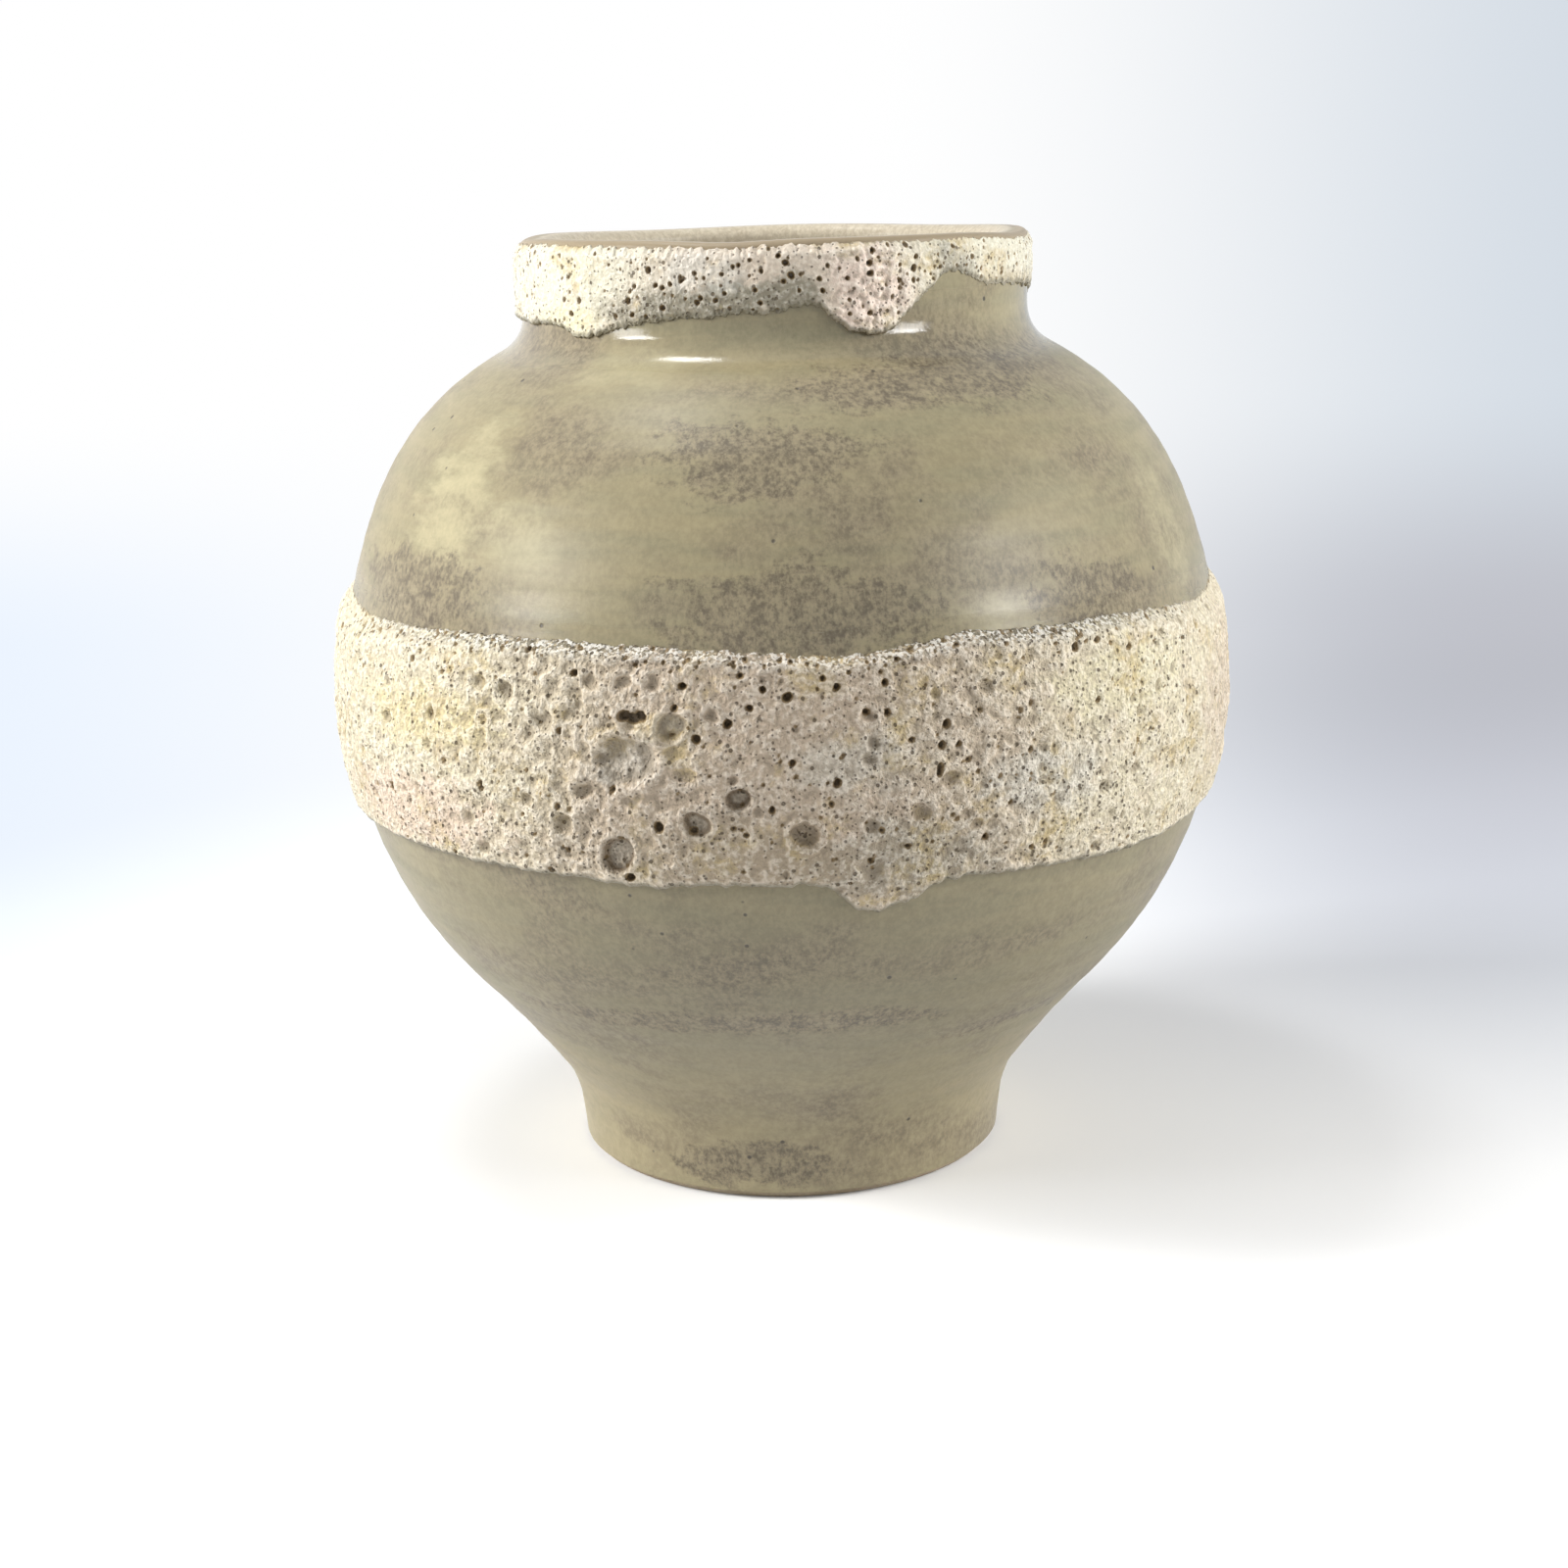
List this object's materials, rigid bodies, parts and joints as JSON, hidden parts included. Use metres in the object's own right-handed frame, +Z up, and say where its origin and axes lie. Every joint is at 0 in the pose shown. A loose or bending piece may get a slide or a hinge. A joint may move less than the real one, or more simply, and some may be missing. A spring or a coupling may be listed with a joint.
{
  "type": "moon jar",
  "caption": "Round stoneware jar on a turned foot with a short collar, glossy olive tan glaze and rough crater glaze bands round belly and collar; holds dry branches, flowers or water.",
  "frame": {"origin": "centre of the foot ring's underside, on the surface that the jar stands on", "axes": "+Z up the jar's axis; -Y towards the side that the picture shows; +X to its right"},
  "size_m": [0.194, 0.194, 0.2],
  "materials": {
    "clay_body": "bare fired stoneware",
    "luting_slip": "fired slip, hidden",
    "base_glaze": "glossy olive tan glaze with brown speckle",
    "liner_glaze": "satin beige liner glaze",
    "crater_glaze": "matt cream and pink crater glaze, rough and pitted"
  },
  "bodies": {
    "root": {"foot_ring": "clay_body", "lower_bowl": "clay_body", "upper_bowl": "clay_body", "neck_collar": "clay_body", "foot_slip": "luting_slip", "belly_slip": "luting_slip", "neck_slip": "luting_slip", "lower_glaze": "base_glaze", "shoulder_glaze": "base_glaze", "lip_glaze": "base_glaze", "liner_glaze": "liner_glaze", "belly_crater_band": "crater_glaze", "neck_crater_band": "crater_glaze"}
  },
  "joints": []
}
